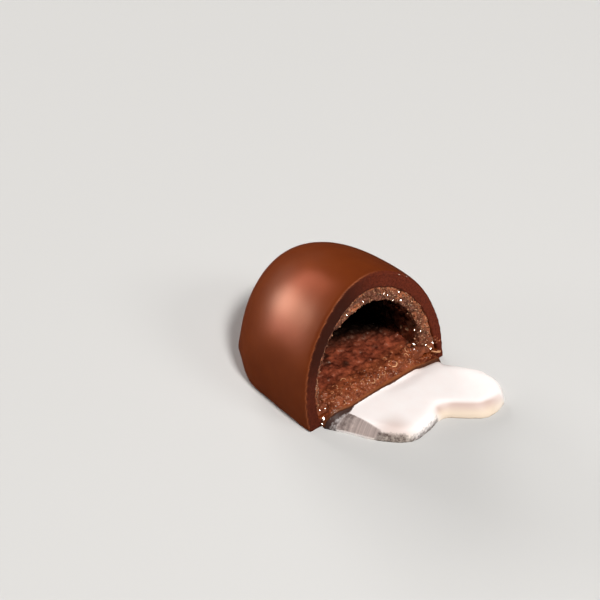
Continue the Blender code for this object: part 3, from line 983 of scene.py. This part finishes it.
# %% Sake, soaked sugar and milky pool
def make_film():
    material, surface, add = new_material("sake film, soaked sugar and syrup")
    place = add("TexCoord").outputs["Object"]
    syrup, slumped, deep, syrup_shade = [
        add("Attribute", attribute_name=name).outputs["Fac"]
        for name in ("syrup", "slumped", "deep", "syrup_shade")]
    # Stains in the soaked sugar, 1.1 mm with finer ones in them, and streaks of syrup, 0.5 mm
    stain = add("TexNoise", {
        "Vector": place, "Scale": scale_for(1.1), "Detail": 6.0, "Roughness": 0.68}).outputs["Fac"]
    contrast = add("MapRange", {"Value": stain, "From Min": 0.36, "From Max": 0.66}).outputs[0]
    floor = add("Mix", {0: contrast, 6: "#3E140B", 7: "#9C4C33"}, data_type="RGBA").outputs[2]
    lip = add("Mix", {0: contrast, 6: "#48190C", 7: "#9C502F"}, data_type="RGBA").outputs[2]
    streaks = add("TexNoise", {
        "Vector": place, "Scale": scale_for(0.5), "Detail": 3.0}).outputs["Fac"]
    brown = add("Mix", {0: streaks, 6: "#632C13", 7: "#995832"}, data_type="RGBA").outputs[2]
    # Painted shade in the syrup band: a shadow line at the shore, and its dark left end
    band = add("Mix", {0: syrup_shade, 6: brown, 7: "#3B1C10"}, data_type="RGBA").outputs[2]
    sugar = add("Mix", {0: slumped, 6: floor, 7: lip}, data_type="RGBA").outputs[2]
    near_cut = add("Mix", {0: syrup, 6: sugar, 7: band}, data_type="RGBA").outputs[2]
    # Painted shade: black towards the back of the hollow
    colour = add("Mix", {0: deep, 6: near_cut, 7: "#1C0F0A"}, data_type="RGBA").outputs[2]
    wetness = add("MapRange", {"Value": slumped, "To Min": 0.12, "To Max": 0.4}).outputs[0]
    # Crystals under the skin, 0.15 mm, make it glitter
    crystal = add("TexNoise", {
        "Vector": place, "Scale": scale_for(0.15), "Detail": 2.0}).outputs["Fac"]
    rough_here = add("MapRange", {"Value": syrup, "To Min": 0.6, "To Max": 0.0}).outputs[0]
    relief = add("Bump", {
        "Height": crystal, "Strength": rough_here, "Distance": 0.06 * MM}).outputs["Normal"]
    fill_inputs(surface, {
        "Base Color": colour, "Roughness": 0.45, "Normal": relief, "IOR": 1.45, "Transmission Weight": 0.1,
        "Specular Tint": "#FFCFAE", "Coat Weight": wetness, "Coat Roughness": 0.12, "Coat IOR": WATERY_IOR,
        "Coat Normal": relief})
    return material


def make_bubble():
    material, surface, add = new_material("syrup, rim of a bubble")
    tone = add("Attribute", attribute_name="tone").outputs["Fac"]
    # Painted highlight: the larger a rim, the paler its colour
    colour = add("Mix", {0: tone, 6: "#C0764C", 7: "#E6AA7C"}, data_type="RGBA").outputs[2]
    fill_inputs(surface, {
        "Base Color": colour, "Roughness": 0.2, "IOR": 1.45, "Transmission Weight": 0.15})
    return material


def make_pool():
    material, surface, add = new_material("sake, milky pool")
    place = add("TexCoord").outputs["Object"]
    facet, cream_and_shade, cocoa, high = [
        add("Attribute", attribute_name=name).outputs["Fac"]
        for name in ("facet", "cream_and_shade", "cocoa", "high")]
    # Clouds in the milk, 1.6 mm, and flecks of cocoa, 0.35 mm
    cloudy = add("TexNoise", {
        "Vector": place, "Scale": scale_for(1.6), "Detail": 3.0}).outputs["Fac"]
    fleck = add("TexNoise", {
        "Vector": place, "Scale": scale_for(0.35), "Detail": 4.0, "Roughness": 0.6}).outputs["Fac"]
    # Streaks of painted shade that run down the facet, side by side every 0.35 mm
    along = add("VectorMath", {0: place, 1: FACET_RUN}, operation="DOT_PRODUCT")
    streak = add("TexNoise", {
        "W": along.outputs["Value"], "Scale": scale_for(0.35), "Detail": 4.0, "Roughness": 0.6},
        noise_dimensions="1D").outputs["Fac"]
    milk = add("Mix", {0: cloudy, 6: "#FFF9F5", 7: "#FCEFEA"}, data_type="RGBA").outputs[2]
    # Painted shade on the tongue's side: cream low down, greyer high up
    shaded_side = add("Mix", {0: high, 6: "#E6D2BC", 7: "#CBB0A4"}, data_type="RGBA").outputs[2]
    # Painted shade in the facet: grey streaks under its see-through gloss
    facet_shade = add("Mix", {0: streak, 6: "#8A736D", 7: "#F6E2D9"}, data_type="RGBA").outputs[2]
    milk_or_shaded_side = add("Mix", {0: cream_and_shade, 6: milk, 7: shaded_side}, data_type="RGBA").outputs[2]
    pale = add("Mix", {0: facet, 6: milk_or_shaded_side, 7: facet_shade}, data_type="RGBA").outputs[2]
    # Painted shade, flecked, shows where the mark and the flecks together pass a threshold
    more = add("Math", {0: cocoa, 1: fleck}, operation="ADD").outputs[0]
    flecked = add("MapRange", {"Value": more, "From Min": 0.75, "From Max": 1.35}).outputs[0]
    colour = add("Mix", {0: flecked, 6: pale, 7: "#44302A"}, data_type="RGBA").outputs[2]
    see_through = add("MapRange", {"Value": facet, "To Min": 0.0, "To Max": 0.35}).outputs[0]
    fill_inputs(surface, {
        "Base Color": colour, "Roughness": 0.45, "IOR": WATERY_IOR, "Transmission Weight": see_through})
    return material


for piece, make in ((film, make_film), (pool, make_pool), (bubbles, make_bubble)):
    piece.data.materials.append(make())
    print(piece.name, "wears", piece.data.materials[0].name)
# Wet sugar lets light through, so the film darkens nothing under it
film.visible_shadow = False

# %% [markdown]
# ## Put the pieces on the part
# Each piece rides on the one body, and the imported solid that it stands for is hidden. Sharp
# edges stay sharp on the grains and crystals.

# %% Ride and replace
SHARP_CRYSTALS, SOFT_SKINS = 35, 75

for piece, node, slot in (
        (coating, "chocolate_coating", "chocolate"),
        (crust, "sugar_crust", "sugar"),
        (grains, None, "sugar"),
        (lumps, None, "sugar"),
        (crystals, None, "sugar"),
        (film, "sake_filling", "sake"),
        (pool, "sake_filling", "sake"),
        (bubbles, None, "sake")):
    select_only(piece)
    smooth_under = SHARP_CRYSTALS if piece in (grains, crystals) else SOFT_SKINS
    bpy.ops.object.shade_smooth_by_angle(angle=math.radians(smooth_under))
    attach(piece, "root")
    if node:
        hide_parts(node)
    print(piece.name, "rides on root, slot", slot)

# %% [markdown]
# ## The table, the lights and the camera
# The sweet stands on a plain pale table, which is kept out of the gloss: its reflection would wash
# the chocolate grey. On the left a long strip of light, on the slant, and a small softbox make the
# highlight on the dome, warm at its edges and paler in the middle. A lamp high in front of the cut
# lights the pool and the front of the hollow's floor, leaves the back of the hollow black, and
# makes the sugar flash. The others fill in, and stay out of the gloss.

# %% Table
TABLE_SIZE = 3.0
bpy.ops.object.select_all(action="DESELECT")
bpy.ops.mesh.primitive_plane_add(size=TABLE_SIZE, location=(0, 0, 0))
table = bpy.context.object
table.name = "table"
paint, surface, _ = new_material("pale table, matt paint")
fill_inputs(surface, {"Base Color": "#CBC9C6", "Roughness": 0.8, "Specular IOR Level": 0.0})
table.data.materials.append(paint)
table.visible_glossy = False

# %% Lights
TARGET = Vector((0, 0, 5 * MM))
GLOSS_DISTANCE = 0.6
LAMP_DISTANCE = 0.7
STUDIO_GLOW = 0.015


def soft_light(
        name, azimuth, elevation, power, size, height=None, roll=0, colour="#FFFFFF",
        distance=LAMP_DISTANCE, gloss=True, matt=True):
    """A softbox that faces the sweet. It can be kept to the gloss, or to the matt shading."""
    lamp = bpy.data.lights.new(name, "AREA")
    lamp.shape = "RECTANGLE"
    lamp.size = size
    lamp.size_y = height or size
    lamp.energy = power
    lamp.color = linear(colour)[:3]
    holder = new_object(name, lamp)
    holder.location = TARGET + direction(azimuth, elevation) * distance
    holder.visible_glossy = gloss
    holder.visible_diffuse = matt
    facing = direction(azimuth, elevation).to_track_quat("Z", "Y").to_matrix()
    holder.rotation_euler = (facing @ Matrix.Rotation(math.radians(roll), 3, "Z")).to_euler()
    print(name, "shines with", power, "W from", azimuth, elevation)


soft_light(
    "gloss, strip", -62, 22, 5.0, size=0.64, height=0.05, roll=-51, colour="#FFB4A5",
    distance=GLOSS_DISTANCE, matt=False)
soft_light("gloss, middle", -57, 17, 2.6, size=0.19, colour="#FFF2E6", distance=GLOSS_DISTANCE, matt=False)
soft_light("front, high", LAMP_AZIMUTH, LAMP_ELEVATION, 4.6, size=0.12)
soft_light("from the right", 110, 35, 1.1, size=0.2, gloss=False)
soft_light("near side", 30, 60, 0.3, size=0.25, gloss=False)
soft_light("left", -110, 19, 2.4, size=0.25, gloss=False)
soft_light("low left", -85, 12, 2.9, size=0.25, gloss=False)
soft_light("lowest", -40, 3, 2.5, size=0.25, gloss=False)

world = bpy.data.worlds.new("studio")
world.use_nodes = True
world.node_tree.nodes["Background"].inputs["Color"].default_value = linear("#FFFFFF")
world.node_tree.nodes["Background"].inputs["Strength"].default_value = STUDIO_GLOW
bpy.context.scene.world = world

# %% Camera
CAMERA_DISTANCE = 333.7 * MM
LOOK_AT = Vector((-13.86 * MM, 4.36 * MM, 0))
SENSOR_WIDTH = 36
FOCAL_LENGTH = 174.2
NEAR_LIMIT = 0.01

lens = bpy.data.cameras.new("camera")
lens.sensor_width = SENSOR_WIDTH
lens.lens = FOCAL_LENGTH
lens.clip_start = NEAR_LIMIT
camera = new_object("camera", lens)
camera.location = LOOK_AT + direction(CAMERA_AZIMUTH, CAMERA_ELEVATION) * CAMERA_DISTANCE
camera.rotation_euler = direction(CAMERA_AZIMUTH, CAMERA_ELEVATION).to_track_quat("Z", "Y").to_euler()
bpy.context.scene.camera = camera
bpy.context.scene.view_settings.view_transform = "Standard"
print("the camera stands at", [round(part / MM) for part in camera.location], "mm")
